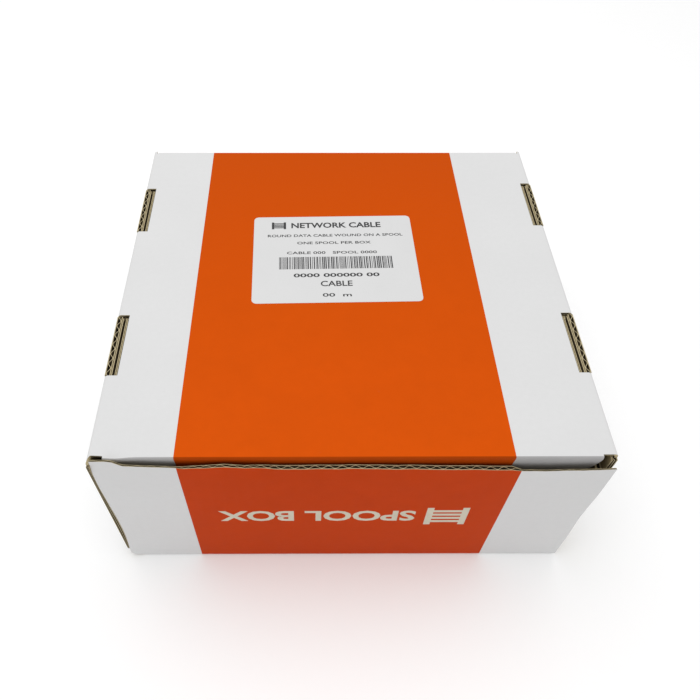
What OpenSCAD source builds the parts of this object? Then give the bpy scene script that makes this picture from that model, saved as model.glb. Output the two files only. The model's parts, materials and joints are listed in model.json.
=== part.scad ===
// Cable spool box: a folded corrugated-board case that holds a spool of data cable.
// The labelled lid opens upwards on a crease at the back, its side flaps hang outside
// the inner side walls, and its front flap tucks in behind the front wall.
// +X is to the right, +Y to the back, +Z up. The origin is the middle of the base.

/* [Case] */
// Width over the side flaps
case_w = 260; // [217:1:320]
// Depth, front wall to back wall
case_d = 250; // [209:1:310]
// Height of the closed case
case_h = 115; // [95:1:150]
// Thickness of the corrugated board
board_t = 3; // [2:0.1:5]
// How far the front wall's top edge lies below the top of the lid
front_drop = 7; // [6:0.5:12]
// How far the side flaps stop above the ground
side_lift = 5; // [1:0.5:15]

/* [Lid slots and wall tabs] */
// Length of each slot along the edge of the lid
slot_l = 42.5; // [20:0.5:52]
// From the front of the case to the left front slot
slot_front = 53; // [30:0.5:62]
// From the back of the case to the left rear slot
slot_back = 41.5; // [30:0.5:52]
// How much further back the right front slot is than the left one
shift_front = 1.5; // [0:0.5:4]
// How much further back the right rear slot is than the left one
shift_rear = 5.5; // [0:0.5:10]
// How far the wall tabs and flap lugs lie below the top of the lid
tab_sink = 0.8; // [0.4:0.1:2]

/* [Tuck flap] */
// Length of the tuck flap from its crease
tuck_l = 34; // [20:1:45]
// How much narrower each end of the flap is at its free edge
tuck_taper = 12; // [4:1:25]
// How far each end of the flap stays inside the side walls
tuck_inset = 2; // [1:0.5:8]
// Lean of the flap into the case, in degrees
tuck_lean = 7.5; // [6:0.5:10]

/* [Glue tabs] */
// Length of the glued corner tabs
glue_l = 34; // [20:1:34]
// Space between the front glue tabs and the tuck flap above them
glue_drop = 4; // [2:0.5:20]

/* [Label] */
// Width of the label
label_w = 100; // [60:1:120]
// Height of the label, along the depth of the case
label_h = 75; // [40:1:90]
// Radius of the label's corners
label_r = 3; // [1:0.5:8]
// Thickness of the label
label_t = 0.2; // [0.1:0.05:0.5]
// Label's middle, to the right of the lid's middle
label_x = -5; // [-25:0.5:25]
// Label's middle, behind the lid's middle
label_y = 17.5; // [-25:0.5:25]
// Turn of the label on the lid, in degrees
label_turn = 1.1; // [-5:0.1:5]

/* [Spool] */
// Thickness of a flange at its rim
flange_t = 4; // [3:0.5:8]
// Thickness of a flange's web
web_t = 2.4; // [1.5:0.1:3]
// Width of the raised rim of a flange
rim_w = 5; // [3:0.5:10]
// Outer diameter of the winding barrel
barrel_d = 70; // [64:1:90]
// Wall of the winding barrel
barrel_wall = 4; // [2:0.5:6]
// Diameter of the round windows in a flange
window_d = 22; // [10:1:25]
// Number of windows in a flange
window_n = 6; // [3:1:8]
// Free space round the spool
spool_gap = 3; // [2:0.5:10]
// How far the cable stays inside the edge of the flanges
winding_lip = 4; // [2:0.5:20]
// Width of the tape that holds the cable's outer end
tape_w = 36; // [20:1:60]
// Thickness of that tape
tape_t = 0.3; // [0.2:0.05:0.6]
// Angle round the winding that the tape covers
tape_arc = 45; // [20:5:90]
// Angle at which the tape starts
tape_start = 200; // [0:5:355]

/* [Axle] */
// Outer diameter of the axle tube
axle_d = 30; // [24:0.5:36]
// Wall of the axle tube
axle_wall = 3; // [2:0.5:5]
// Wall of the bearing bushes
bush_wall = 4; // [2:0.5:6]
// Length of the bearing bushes
bush_l = 14; // [8:1:25]
// Diameter of the axle's foot disc
foot_d = 64; // [50:1:90]
// Diameter of the axle's top cap
cap_d = 46; // [40:1:56]
// Thickness of the cap's rim
cap_t = 1.6; // [1:0.1:2]
// Diameter of the glide ring under the spool
glide_d = 118; // [100:1:150]
// Thickness of the glide ring
glide_t = 1.5; // [1:0.1:3]

/* [Cable outlet] */
// Bore of the outlet grommet
outlet_d = 18; // [10:0.5:20]
// Wall of the grommet's neck
neck_wall = 3.5; // [2:0.5:4]
// Length of the grommet's neck, behind its rim
neck_l = 9; // [8:0.5:14]
// Diameter of the grommet's rim and of its lock ring
outlet_rim_d = 36; // [32:0.5:37]
// Thickness of the grommet's rim
outlet_rim_t = 2.5; // [1.5:0.1:4]
// Thickness of the lock ring
lock_t = 3; // [2:0.5:4]
// Outlet's middle, to the right of the middle of the back wall
outlet_x = 66; // [45:0.5:67]
// Outlet's height above the ground
outlet_z = 57.5; // [38:0.5:76]

/* [Clearances] */
// Gap at a crease that moves
crease_gap = 0.3; // [0.2:0.05:0.8]
// Gap between a side flap and the wall behind it
flap_gap = 0.4; // [0.3:0.05:1]
// Gap between the lid's front fold and the front wall
fold_gap = 0.2; // [0.1:0.05:0.5]
// Gap round the tabs in the lid's slots
tab_gap = 0.6; // [0.4:0.1:1.5]
// Radial running gap between the bushes and the axle
run_gap = 0.3; // [0.1:0.05:0.6]
// Gap under and over the turning spool
lift_gap = 0.3; // [0.2:0.05:1]
// Gap round the floor pad
pad_gap = 1; // [0.5:0.1:3]
// Gap between the grommet's neck and the hole in the back wall
neck_gap = 0.2; // [0.1:0.05:0.5]

/* [Hidden] */
$fn = 96;
EPS = 1;                                     // extra length of a cut past the face

half_t = board_t / 2;
half_w = case_w / 2;
half_d = case_d / 2;

// Case levels and faces
lid_under = case_h - board_t;                // underside of the lid
wall_top = lid_under - crease_gap;           // top edge of the walls under the lid
crease_z = case_h - half_t;                  // height of the moving creases
hinge_y = half_d - half_t;                   // the lid's crease
fold_y = -half_d + board_t + fold_gap + half_t;  // the tuck flap's crease
flap_x = half_w - half_t;                    // the side flaps' creases
side_out = half_w - board_t - flap_gap;      // outer face of an inner side wall
side_in = side_out - board_t;                // its inner face
front_in = -half_d + board_t;                // inner face of the front wall
back_in = half_d - board_t;                  // inner face of the back wall
slot_w = half_w - side_in + tab_gap;         // slot's reach in from the lid's edge
tab_l = slot_l - 2 * tab_gap;
tab_top = case_h - tab_sink;
slot_y = [-half_d + slot_front + slot_l / 2, half_d - slot_back - slot_l / 2];
slot_y_right = slot_y + [shift_front, shift_rear];

// Tuck flap: the lowest points of its outer and inner faces
tuck_low = crease_z - tuck_l * cos(tuck_lean) - half_t * sin(tuck_lean);
tuck_in = fold_y + tuck_l * sin(tuck_lean) + half_t * cos(tuck_lean);

// Spool: it fills the space between the tuck flap and the back wall
spool_y = (tuck_in + back_in) / 2;
flange_r = min((back_in - tuck_in) / 2, side_in) - spool_gap;
pad_top = 2 * board_t;
glide_top = pad_top + glide_t;
spool_low = glide_top + lift_gap;
cap_top = lid_under - 2 * lift_gap;
cap_low = cap_top - cap_t;
spool_top = cap_low - lift_gap;
winding_low = spool_low + flange_t;
winding_top = spool_top - flange_t;
winding_r = flange_r - winding_lip;
barrel_r = barrel_d / 2;
barrel_in = barrel_r - barrel_wall;
bush_in = axle_d / 2 + run_gap;
bush_out = bush_in + bush_wall;
axle_in = axle_d / 2 - axle_wall;
spigot_l = 16;                               // spigots of the foot and cap in the tube
window_ring = (barrel_r + flange_r) / 2;

// Outlet
neck_r = outlet_d / 2 + neck_wall;
outlet_face = half_d + outlet_rim_t;
chamfer = 1;

kraft = [0.72, 0.56, 0.36];
white = [0.93, 0.93, 0.92];
orange = [0.86, 0.33, 0.06];
plastic = [0.16, 0.17, 0.18];
nylon = [0.88, 0.88, 0.84];
sheath = [0.74, 0.76, 0.75];

// A box given by its lowest and highest corners
module block(low, high) {
    translate(low) cube(high - low);
}

// A ring about the spool's axis, from z0 to z1
module ring(r_out, r_in, z0, z1) {
    translate([0, spool_y, z0]) difference() {
        cylinder(r = r_out, h = z1 - z0);
        translate([0, 0, -EPS]) cylinder(r = r_in, h = z1 - z0 + 2 * EPS);
    }
}

// A disc about the spool's axis, from z0 to z1
module disc(r, z0, z1) {
    translate([0, spool_y, z0]) cylinder(r = r, h = z1 - z0);
}

// A rectangle in the middle of the plane, with round corners
module round_rectangle(w, h, r) {
    square([w - 2 * r, h], center = true);
    square([w, h - 2 * r], center = true);
    for (x = [-1, 1], y = [-1, 1])
        translate([x * (w / 2 - r), y * (h / 2 - r)]) circle(r = r);
}

// The right-hand piece, or its mirror on the left
module on_side(right) {
    if (right) children();
    else mirror([1, 0, 0]) children();
}

module bottom_panel() {
    color(kraft) block([-side_in, front_in, 0], [side_in, back_in, board_t]);
}

// The front wall stops short of the left side flap and covers the edge of the right one
module front_wall() {
    color(orange)
        block([-side_out, -half_d, 0], [half_w, front_in, case_h - front_drop]);
}

module back_wall() {
    color(orange) difference() {
        block([-side_out, back_in, 0], [side_out, half_d, wall_top]);
        translate([outlet_x, back_in - EPS, outlet_z]) rotate([-90, 0, 0])
            cylinder(r = neck_r + neck_gap, h = board_t + 2 * EPS);
    }
}

// A wall with two tabs that stand in the lid's slots
module inner_side(right) {
    color(kraft) on_side(right) {
        block([side_in, front_in, 0], [side_out, back_in, wall_top]);
        for (y = right ? slot_y_right : slot_y)
            block([side_in, y - tab_l / 2, wall_top - half_t],
                  [side_out, y + tab_l / 2, tab_top]);
    }
}

module glue_tab_front(right) {
    color(kraft) on_side(right)
        block([side_in - glue_l, front_in, board_t],
              [side_in, front_in + board_t, tuck_low - glue_drop]);
}

module glue_tab_back(right) {
    color(kraft) on_side(right)
        block([side_in - glue_l, back_in - board_t, board_t],
              [side_in, back_in, wall_top - glue_drop]);
}

// A plate whose edges are rounded where the creases are, with four slots
module lid_panel() {
    color(orange) difference() {
        union() {
            block([-flap_x, fold_y, lid_under], [flap_x, hinge_y, case_h]);
            for (x = [-flap_x, flap_x])
                translate([x, fold_y, crease_z]) rotate([-90, 0, 0])
                    cylinder(r = half_t, h = hinge_y - fold_y);
            for (y = [fold_y, hinge_y])
                translate([-flap_x, y, crease_z]) rotate([0, 90, 0])
                    cylinder(r = half_t, h = 2 * flap_x);
        }
        for (right = [false, true], y = right ? slot_y_right : slot_y)
            on_side(right) translate([half_w + EPS - (slot_w + EPS) / 2, y, crease_z])
                cube([slot_w + EPS, slot_l, board_t + 2 * EPS], center = true);
    }
}

// The flap hangs from the crease at [fold_y, crease_z], leaning into the case
module tuck_flap() {
    top_w = side_in - tuck_inset;
    top = half_t + crease_gap + half_t * sin(tuck_lean);  // clears the lid's underside
    color(orange) translate([0, fold_y, crease_z]) rotate([tuck_lean, 0, 0])
        rotate([90, 0, 0]) translate([0, 0, -half_t])
            linear_extrude(height = board_t) polygon([
                [-top_w, -top], [top_w, -top],
                [top_w - tuck_taper, -tuck_l], [-top_w + tuck_taper, -tuck_l]
            ]);
}

// A flap's plate, hanging outside the inner side wall on the right
module flap_plate() {
    block([half_w - board_t, -half_d, side_lift],
          [half_w, half_d, crease_z - half_t - crease_gap]);
}

// A flap with a lug in each slot of the lid. The right one lies behind the front wall, and
// its front edge is an arc about the lid's crease, so that it clears the wall on its way up.
module side_flap(right) {
    color(white) on_side(right) {
        if (right) {
            intersection() {
                flap_plate();
                translate([half_w - board_t - EPS, hinge_y, crease_z]) rotate([0, 90, 0])
                    cylinder(r = hinge_y - front_in - flap_gap, h = board_t + 2 * EPS);
            }
        } else flap_plate();
        for (y = right ? slot_y_right : slot_y)
            block([half_w - board_t, y - tab_l / 2, wall_top - half_t],
                  [half_w, y + tab_l / 2, tab_top]);
    }
}

module shipping_label() {
    color(white) translate([label_x, label_y, case_h]) rotate([0, 0, label_turn])
        linear_extrude(height = label_t) round_rectangle(label_w, label_h, label_r);
}

module floor_pad() {
    reach = [side_in - pad_gap, back_in - board_t - pad_gap];
    color(kraft) difference() {
        block([-reach[0], -reach[1], board_t], [reach[0], reach[1], pad_top]);
        disc(foot_d / 2, board_t - EPS, pad_top + EPS);
    }
}

module axle_foot() {
    color(plastic) {
        disc(foot_d / 2, board_t, pad_top);
        disc(axle_in, pad_top, pad_top + spigot_l);
    }
}

module axle_tube() {
    color(kraft) ring(axle_d / 2, axle_in, pad_top, cap_low);
}

module axle_cap() {
    color(plastic) {
        disc(cap_d / 2, cap_low, cap_top);
        disc(axle_in, cap_low - spigot_l, cap_low);
    }
}

module glide_ring() {
    color(nylon) ring(glide_d / 2, foot_d / 2, pad_top, glide_top);
}

module spool_barrel() {
    color(kraft) ring(barrel_r, barrel_in, winding_low, winding_top);
}

// A flange with its rim raised on the outer face, windows and a bore for the bush
module flange(z_in, out) {
    z_web = z_in + out * web_t;
    z_rim = z_in + out * flange_t;
    color(plastic) difference() {
        union() {
            disc(flange_r, min(z_in, z_web), max(z_in, z_web));
            ring(flange_r, flange_r - rim_w, min(z_in, z_rim), max(z_in, z_rim));
            disc(barrel_r, min(z_in, z_rim), max(z_in, z_rim));
        }
        disc(bush_out, min(z_in, z_rim) - EPS, max(z_in, z_rim) + EPS);
        for (k = [0 : window_n - 1])
            translate([window_ring * cos(360 * k / window_n),
                       window_ring * sin(360 * k / window_n), 0])
                disc(window_d / 2, z_in - flange_t - EPS, z_in + flange_t + EPS);
    }
}

// A bearing bush that sits in the flange and runs on the axle
module bush(z_face, inward) {
    z_end = z_face + inward * bush_l;
    z_collar = z_face + inward * flange_t;
    color(nylon) {
        ring(bush_out, bush_in, min(z_face, z_end), max(z_face, z_end));
        ring(barrel_in, bush_out, min(z_collar, z_collar + inward * web_t),
             max(z_collar, z_collar + inward * web_t));
    }
}

module cable_winding() {
    color(sheath) ring(winding_r, barrel_r, winding_low, winding_top);
}

// A strip of tape over the last turns, an eighth of the way round the winding
module end_tape() {
    mid = (winding_low + winding_top) / 2;
    color(nylon) translate([0, spool_y, mid - tape_w / 2]) rotate([0, 0, tape_start])
        rotate_extrude(angle = tape_arc)
            translate([winding_r, 0]) square([tape_t, tape_w]);
}

module outlet_grommet() {
    bore = outlet_d / 2;
    inner = half_d - neck_l;
    color(plastic) translate([outlet_x, 0, outlet_z]) rotate([-90, 0, 0])
        rotate_extrude() polygon([
            [bore, inner + chamfer], [bore + chamfer, inner], [neck_r, inner],
            [neck_r, half_d], [outlet_rim_d / 2, half_d],
            [outlet_rim_d / 2, outlet_face - chamfer],
            [outlet_rim_d / 2 - chamfer, outlet_face],
            [bore + chamfer, outlet_face], [bore, outlet_face - chamfer]
        ]);
}

module outlet_lock_ring() {
    color(plastic) translate([outlet_x, back_in - lock_t, outlet_z])
        rotate([-90, 0, 0]) difference() {
            cylinder(r = outlet_rim_d / 2, h = lock_t);
            translate([0, 0, -EPS]) cylinder(r = neck_r, h = lock_t + 2 * EPS);
        }
}

bottom_panel();
front_wall();
back_wall();
inner_side(false);  // inner_side_left
inner_side(true);  // inner_side_right
glue_tab_front(false);  // glue_tab_front_left
glue_tab_front(true);  // glue_tab_front_right
glue_tab_back(false);  // glue_tab_back_left
glue_tab_back(true);  // glue_tab_back_right
lid_panel();
tuck_flap();
side_flap(false);  // side_flap_left
side_flap(true);  // side_flap_right
shipping_label();
floor_pad();
axle_foot();
axle_tube();
axle_cap();
glide_ring();
spool_barrel();
flange(winding_low, -1);  // flange_lower
flange(winding_top, 1);  // flange_upper
bush(spool_low, 1);  // bush_lower
bush(spool_top, -1);  // bush_upper
cable_winding();
end_tape();
outlet_grommet();
outlet_lock_ring();
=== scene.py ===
"""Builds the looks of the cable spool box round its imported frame.

Every board is made as the real one is: an outer liner, an inner liner and a fluted
medium between them, so that its raw edges show the flutes. Lengths in the functions
are in metres, in the frame's own axes.
"""
import json

import bpy
import numpy as np
from mathutils import Matrix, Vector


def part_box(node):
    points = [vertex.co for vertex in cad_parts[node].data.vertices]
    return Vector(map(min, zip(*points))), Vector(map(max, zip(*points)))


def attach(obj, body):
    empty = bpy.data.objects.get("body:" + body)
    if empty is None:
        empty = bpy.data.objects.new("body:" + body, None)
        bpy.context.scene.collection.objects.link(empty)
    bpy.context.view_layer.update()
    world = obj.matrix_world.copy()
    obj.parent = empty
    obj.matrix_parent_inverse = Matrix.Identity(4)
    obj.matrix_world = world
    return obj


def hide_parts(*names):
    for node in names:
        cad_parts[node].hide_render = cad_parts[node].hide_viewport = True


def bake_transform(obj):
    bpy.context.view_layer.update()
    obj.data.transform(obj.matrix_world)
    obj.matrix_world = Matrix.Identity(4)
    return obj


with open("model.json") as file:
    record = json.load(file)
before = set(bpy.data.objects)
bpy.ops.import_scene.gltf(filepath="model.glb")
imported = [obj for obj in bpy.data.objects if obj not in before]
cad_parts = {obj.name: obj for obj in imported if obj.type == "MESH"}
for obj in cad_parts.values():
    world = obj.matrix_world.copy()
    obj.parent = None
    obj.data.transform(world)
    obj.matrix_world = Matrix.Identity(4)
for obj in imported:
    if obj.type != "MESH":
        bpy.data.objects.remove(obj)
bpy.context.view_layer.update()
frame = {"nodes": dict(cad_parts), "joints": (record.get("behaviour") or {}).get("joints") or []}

MM = 0.001

bl_info = {
    "name": "Cable Spool Box",
    "version": (1, 0, 0),
    "blender": (4, 5, 0),
    "location": "View3D > Sidebar > Spool Box",
    "description": "Builds a corrugated case that holds a spool of cable",
    "category": "Object",
}

# Places and sizes that come from the frame
LID_LOW, LID_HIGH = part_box("lid_panel")
WALL_LOW, WALL_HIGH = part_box("front_wall")
BACK_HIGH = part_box("back_wall")[1]
FLOOR_LOW, FLOOR_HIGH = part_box("bottom_panel")
BOARD = float(FLOOR_HIGH[2] - FLOOR_LOW[2])
CREASE_Z = float(LID_HIGH[2]) - BOARD / 2
FOLD_Y = float(LID_LOW[1]) + BOARD / 2
HINGE_Y = float(LID_HIGH[1]) - BOARD / 2
AXIS_Y = float(frame["joints"][-1]["pos_m"][1])
TOP = float(LID_HIGH[2])

# Sizes of the folded case that the frame's boxes don't give
TAB = 41.3 * MM                  # length of a lug or tab in a slot
SLOT = 42.5 * MM                 # length of a slot
SLOT_DEPTH = 7.0 * MM            # from the lid's side edge
SLOT_Y = {"left": (-50.75 * MM, 62.25 * MM), "right": (-49.25 * MM, 67.75 * MM)}
TAB_SHORT = 1.4 * MM             # how much sooner the inner walls' tabs end
ABOVE_WALL = 2.5 * MM            # how far lugs and tabs stand above their boards
CORNER = 7.7 * MM                # the lid's creases stop this far from its side edges
RAW_Y = float(LID_LOW[1]) + 1.6 * MM     # the lid's raw front edge at its corners
TUCK_LEAN = np.radians(7.5)      # from upright, into the case
TUCK_TAPER = 12 * MM             # at each end of the flap, over its whole length
TUCK_START = 0.25 * MM           # from the flap's crease to where its board starts

# The front wall's raw top edge: place along the wall, drop below the lid's top, and
# how much of the board's thickness is left there
EDGE_X = np.array([-127, -117, -112, -103, -87, -83, -73, -63, -53, -43, -38,
                   -23, 0, 30, 62, 79, 84, 95, 111, 120, 130]) * MM
EDGE_DROP = np.array([0.2, 0.3, 2.4, 3.1, 4.6, 5.2, 4.6, 3.7, 4.7, 4.8, 5.8,
                      6.0, 5.6, 6.3, 7.0, 7.5, 8.2, 8.5, 7.9, 7.4, 6.8]) * MM
EDGE_LEFT = np.array([0.35, 0.35, 0.34, 0.33, 0.33, 0.5, 0.62, 0.66, 0.6, 0.7, 0.84,
                      0.86, 0.86, 0.88, 0.88, 0.86, 0.36, 0.32, 0.32, 0.3, 0.3])

# The left side flap's raw front edge: height, and how thick the board is left there
FLAP_Z = np.array([0, 11, 24, 38, 52, 64, 91, 112]) * MM
FLAP_LEFT = np.array([0.5, 0.9, 2.0, 2.6, 2.5, 2.1, 1.3, 1.5]) * MM


# The camera's place, and the ways that its picture's right and bottom point
CAMERA_PLACE = np.array([-23.835, -284.921, 405.803]) * MM
CAMERA_RIGHT = np.array([0.99998966, -0.00381696, 0.00247171])
CAMERA_DOWN = np.array([-0.00146101, -0.78440878, -0.62024248])


# ---------------------------------------------------------------- geometry

class Shape:
    """Points and faces gathered from arrays, with a material number for each face."""

    def __init__(self):
        self.points = []
        self.faces = []
        self.slots = []
        self.count = 0

    def add(self, points, groups):
        """Adds points (n, 3) and groups of (faces, material number)."""
        self.points.append(np.asarray(points, float))
        for faces, slot in groups:
            if len(faces):
                moved = np.asarray(faces) + self.count
                self.faces.extend(moved.tolist())
                self.slots.extend([slot] * len(moved))
        self.count += len(points)

    def object(self, name, materials, smooth=35):
        """Makes the object; faces that meet at under smooth degrees are shaded smooth."""
        mesh = bpy.data.meshes.new(name)
        mesh.from_pydata(np.concatenate(self.points).tolist(), [], self.faces)
        for material in materials:
            mesh.materials.append(material)
        mesh.polygons.foreach_set("material_index", np.array(self.slots, np.int32))
        mesh.polygons.foreach_set("use_smooth", np.ones(len(self.faces), bool))
        mesh.set_sharp_from_angle(angle=float(np.radians(smooth)))
        mesh.update()
        thing = bpy.data.objects.new(name, mesh)
        bpy.context.scene.collection.objects.link(thing)
        return thing


def volume(points, groups):
    """Signed volume of a closed shape: a sixth of the sum of a . (b x c) over its
    triangles. It is negative where the faces point inwards."""
    total = 0.0
    for faces, _ in groups:
        faces = np.asarray(faces)
        for k in range(1, faces.shape[1] - 1):
            a, b, c = points[faces[:, 0]], points[faces[:, k]], points[faces[:, k + 1]]
            total += np.einsum("ij,ij->", a, np.cross(b, c))
    return total / 6


def outward(points, groups):
    """Turns every face round if the shape is inside out."""
    if volume(points, groups) < 0:
        return [(np.asarray(f)[:, ::-1], s) for f, s in groups]
    return groups


def closed_sheet(u, v, inside, low, high, slots=(0, 1, 2)):
    """A closed slab over the cells of a u, v grid that inside(u, v) keeps.

    low(U, V) and high(U, V) give the points of its two faces. Where a kept cell
    has no kept neighbour, a wall joins the two faces. slots numbers the materials
    of the high face, the low face and the walls.
    """
    u, v = np.asarray(u), np.asarray(v)
    n, m = len(u), len(v)
    grid = np.meshgrid(u, v, indexing="ij")
    points = np.concatenate([low(*grid).reshape(-1, 3), high(*grid).reshape(-1, 3)])
    middle = np.meshgrid((u[1:] + u[:-1]) / 2, (v[1:] + v[:-1]) / 2, indexing="ij")
    keep = np.broadcast_to(inside(*middle), (n - 1, m - 1))
    number = np.arange(n * m).reshape(n, m)
    top = n * m
    a, b = number[:-1, :-1][keep], number[1:, :-1][keep]
    c, d = number[1:, 1:][keep], number[:-1, 1:][keep]
    faces_high = np.stack([a, b, c, d], 1) + top
    faces_low = np.stack([d, c, b, a], 1)
    framed = np.zeros((n + 1, m + 1), bool)
    framed[1:-1, 1:-1] = keep
    sides = (
        (framed[1:-1, 1:], framed[1:-1, :-1], 1, 0),
        (framed[:-1, 1:-1], framed[1:, 1:-1], 0, 1),
    )
    walls = []
    for here, there, du, dv in sides:
        i, j = np.nonzero(here != there)
        p, q = number[i, j], number[i + du, j + dv]
        quads = np.stack([p, q, q + top, p + top], 1)
        walls.append(np.where(here[i, j][:, None], quads, quads[:, ::-1]))
    groups = [
        (faces_high, slots[0]),
        (faces_low, slots[1]),
        (np.concatenate(walls), slots[2]),
    ]
    used = np.unique(np.concatenate([g[0].ravel() for g in groups]))
    renumber = np.zeros(len(points), int)
    renumber[used] = np.arange(len(used))
    groups = [(renumber[f], s) for f, s in groups]
    return points[used], outward(points[used], groups)


def lines(low, high, step, *extra):
    """Grid lines from low to high, about step apart, and through the extra places."""
    count = max(2, int(round((high - low) / step)) + 1)
    fixed = np.concatenate([[low, high]] + [np.ravel(e) for e in extra])
    fixed = np.round(fixed, 7)
    places = np.concatenate([np.round(np.linspace(low, high, count), 7), fixed])
    places = np.unique(places[(places >= fixed[0]) & (places <= fixed[1])])
    apart = np.min(np.abs(places[:, None] - fixed[None, :]), axis=1)
    return places[(apart > step * 0.2) | (apart < 1e-9)]


def everywhere(U, V):
    """Keeps the whole grid."""
    return np.ones_like(U, bool)


def smooth_step(x, start, end):
    """0 before start and 1 after end, 3 t^2 - 2 t^3 between."""
    t = np.clip((x - start) / (end - start), 0, 1)
    return t * t * (3 - 2 * t)


def wander(x, seed, size, length):
    """A smooth wandering line: three sines of seeded phase and falling height."""
    phase = np.random.default_rng(seed).uniform(0, 2 * np.pi, 3)
    waves = [np.sin(2 * np.pi * x * k / length + phase[i]) / k for i, k in enumerate((1, 2.3, 4.1))]
    return size * sum(waves) / 2


def slabs(low, high):
    """Boxes with the given low and high corners, each (n, 3), as points and faces."""
    low, high = np.atleast_2d(low), np.atleast_2d(high)
    bits = np.array([[x, y, z] for x in (0, 1) for y in (0, 1) for z in (0, 1)])
    points = low[:, None, :] + bits[None] * (high - low)[:, None, :]
    quads = np.array([[0, 1, 3, 2], [4, 6, 7, 5], [0, 4, 5, 1],
                      [2, 3, 7, 6], [0, 2, 6, 4], [1, 5, 7, 3]])
    faces = (quads[None] + 8 * np.arange(len(low))[:, None, None]).reshape(-1, 4)
    return points.reshape(-1, 3), faces


def ring_faces(n, m, closed):
    """Quads between n rings of m points; the last ring joins the first if closed."""
    number = np.arange(n * m).reshape(n, m)
    first = number if closed else number[:-1]
    after = np.roll(number, -1, 0)[:len(first)]
    quads = np.stack([first, after, np.roll(after, -1, 1), np.roll(first, -1, 1)], 2)
    return quads.reshape(-1, 4)


def tube(path, radius, sides, closed=False):
    """A round tube along a path (n, 3) that turns about +Z: each ring is
    p + radius * (cos a * n + sin a * b), n pointing level and b across both."""
    ahead = np.roll(path, -1, 0) - np.roll(path, 1, 0)
    if not closed:
        ahead[0], ahead[-1] = path[1] - path[0], path[-1] - path[-2]
    ahead /= np.linalg.norm(ahead, axis=1)[:, None]
    level = np.cross(ahead, [0, 0, 1.0])
    level /= np.linalg.norm(level, axis=1)[:, None]
    across = np.cross(level, ahead)
    a = np.linspace(0, 2 * np.pi, sides, endpoint=False)
    rings = (path[:, None] + radius * (np.cos(a)[None, :, None] * level[:, None]
                                       + np.sin(a)[None, :, None] * across[:, None]))
    n = len(path)
    faces = [(ring_faces(n, sides, closed), 0)]
    points = rings.reshape(-1, 3)
    if not closed:
        points = np.concatenate([points, path[[0, -1]]])
        ring = np.arange(sides)
        after = np.roll(ring, -1)
        last = (n - 1) * sides
        first_fan = np.stack([ring, after, np.full(sides, n * sides)], 1)
        last_fan = np.stack([after + last, ring + last, np.full(sides, n * sides + 1)], 1)
        faces.append((np.concatenate([first_fan, last_fan]), 0))
    return points, outward(points, faces)


def lathe(profile, axis_y, turns=96):
    """A closed ring: the profile (n, 2) of radius and height turned about the
    spool's axis."""
    a = np.linspace(0, 2 * np.pi, turns, endpoint=False)
    r, z = profile[:, 0], profile[:, 1]
    points = np.stack([np.cos(a)[:, None] * r, axis_y + np.sin(a)[:, None] * r,
                       np.broadcast_to(z, (turns, len(z)))], 2).reshape(-1, 3)
    return points, outward(points, [(ring_faces(turns, len(r), True), 0)])


def lettering(text, width, height, bold):
    """Flat letters as (points, triangles), centred on the origin and stretched to a
    width along X and a height along Y."""
    curve = bpy.data.curves.new("letters", "FONT")
    curve.body = text
    curve.offset = bold
    curve.resolution_u = 3
    thing = bpy.data.objects.new("letters", curve)
    bpy.context.scene.collection.objects.link(thing)
    bpy.context.view_layer.update()
    mesh = bpy.data.meshes.new_from_object(thing)
    mesh.calc_loop_triangles()
    points = np.zeros(len(mesh.vertices) * 3)
    faces = np.zeros(len(mesh.loop_triangles) * 3, np.int32)
    mesh.vertices.foreach_get("co", points)
    mesh.loop_triangles.foreach_get("vertices", faces)
    points = points.reshape(-1, 3)
    bpy.data.objects.remove(thing)
    bpy.data.curves.remove(curve)
    bpy.data.meshes.remove(mesh)
    low, high = points.min(0), points.max(0)
    points = (points - (low + high) / 2) / np.maximum(high - low, 1e-9)
    return points * [width, height, 0], faces.reshape(-1, 3)


def thick_print(shape, points, faces, place, thick):
    """Adds flat triangles as closed ink of a given thickness: the faces, the same
    faces raised and turned over, and a wall on each edge that one triangle has."""
    n = len(points)
    edges = np.concatenate([faces[:, [0, 1]], faces[:, [1, 2]], faces[:, [2, 0]]])
    forward, backward = edges @ [n, 1], edges @ [1, n]
    border = edges[~np.isin(forward, backward)]
    walls = np.column_stack([border, border[:, ::-1] + n])
    both = np.concatenate([points, points + [0, 0, thick]])
    shape.add(place(both), [(faces + n, 0), (faces[:, ::-1], 0), (walls, 0)])


# ---------------------------------------------------------------- materials

class Link:
    """A number that comes out of a shader node, so that sums of them read as sums."""

    def __init__(self, shade, socket):
        self.shade = shade
        self.socket = socket

    def math(self, operation, *values):
        return self.shade.add("ShaderNodeMath", values, operation=operation)

    def __add__(self, other):
        return self.math("ADD", self, other)

    def __radd__(self, other):
        return self.math("ADD", other, self)

    def __sub__(self, other):
        return self.math("SUBTRACT", self, other)

    def __rsub__(self, other):
        return self.math("SUBTRACT", other, self)

    def __mul__(self, other):
        return self.math("MULTIPLY", self, other)

    def __rmul__(self, other):
        return self.math("MULTIPLY", other, self)

    def __gt__(self, other):
        return self.math("GREATER_THAN", self, other)

    def __lt__(self, other):
        return self.math("LESS_THAN", self, other)

    def sine(self):
        return self.math("SINE", self)


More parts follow.
